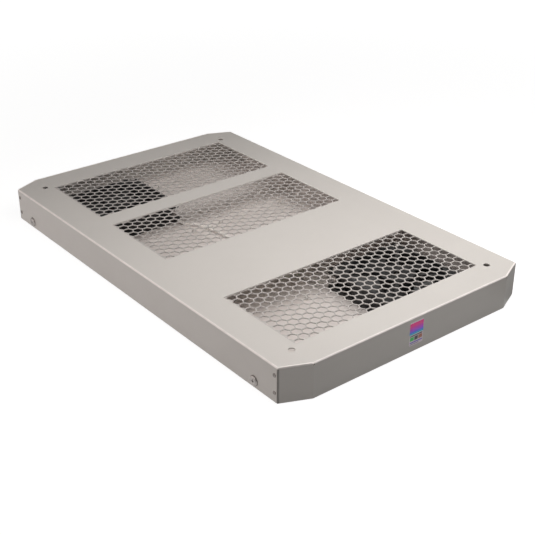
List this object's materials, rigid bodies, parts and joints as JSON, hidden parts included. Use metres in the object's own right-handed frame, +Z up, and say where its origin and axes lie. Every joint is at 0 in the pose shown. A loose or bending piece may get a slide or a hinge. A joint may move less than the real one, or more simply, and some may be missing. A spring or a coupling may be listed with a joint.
{
  "type": "rack fan tray",
  "caption": "Flat fan tray for a rack cabinet: folded sheet-metal housing with cut-off corners, hexagon-perforated windows in its roof, and axial fans on its floor.",
  "frame": {"origin": "middle of the underside of the floor", "axes": "+Y from the front to the rear along the longest side, +Z up through the perforated roof, +X to the right seen from the front"},
  "size_m": [0.3732, 0.6036, 0.0436],
  "materials": {
    "cover_paint": "fine textured powder coat, satin",
    "mesh_paint": "fine textured powder coat, satin",
    "floor_paint": "powder coat, satin",
    "blank_paint": "powder coat, satin",
    "zinc": "bright zinc plate",
    "rivet_steel": "dull",
    "fan_frame_black": "satin black",
    "impeller_black": "moulded, satin",
    "winding": "lacquered copper wire",
    "magnet_ferrite": "dull",
    "shaft_steel": "ground",
    "bush_bronze": "sintered",
    "guard_steel": "zinc plate",
    "rubber_black": "dull",
    "block_plastic": "moulded, semi-gloss",
    "lead_grey": "soft PVC",
    "clip_white": "nylon"
  },
  "bodies": {
    "housing": {"top_cover": "cover_paint", "rear_wall": "cover_paint", "left_rail": "floor_paint", "right_rail": "floor_paint", "front_mesh": "mesh_paint", "middle_mesh": "mesh_paint", "rear_mesh": "mesh_paint", "base_plate": "floor_paint", "front_left_blank": "blank_paint", "middle_left_blank": "blank_paint", "middle_right_blank": "blank_paint", "rear_right_blank": "blank_paint", "blank_screws": "zinc", "corner_rivets": "rivet_steel", "side_screws": "zinc", "side_nuts": "zinc", "terminal_block": "block_plastic", "earth_stud": "zinc", "cable_grommet": "rubber_black", "lead_clips": "clip_white", "front_fan_frame": "fan_frame_black", "front_fan_spider": "fan_frame_black", "front_fan_stator": "winding", "front_fan_bush": "bush_bronze", "front_fan_guard": "guard_steel", "front_fan_screws": "zinc", "front_fan_lead": "lead_grey", "rear_fan_frame": "fan_frame_black", "rear_fan_spider": "fan_frame_black", "rear_fan_stator": "winding", "rear_fan_bush": "bush_bronze", "rear_fan_guard": "guard_steel", "rear_fan_screws": "zinc", "rear_fan_lead": "lead_grey"},
    "front_rotor": {"front_fan_impeller": "impeller_black", "front_fan_magnet": "magnet_ferrite", "front_fan_shaft": "shaft_steel"},
    "rear_rotor": {"rear_fan_impeller": "impeller_black", "rear_fan_magnet": "magnet_ferrite", "rear_fan_shaft": "shaft_steel"}
  },
  "joints": [
    {"name": "front_fan_spin", "type": "hinge", "parent": "housing", "child": "front_rotor", "pos_m": [0.075, -0.195, 0.0148], "axis": [0, 0, 1], "continuous": true},
    {"name": "rear_fan_spin", "type": "hinge", "parent": "housing", "child": "rear_rotor", "pos_m": [-0.075, 0.195, 0.0148], "axis": [0, 0, 1], "continuous": true}
  ]
}
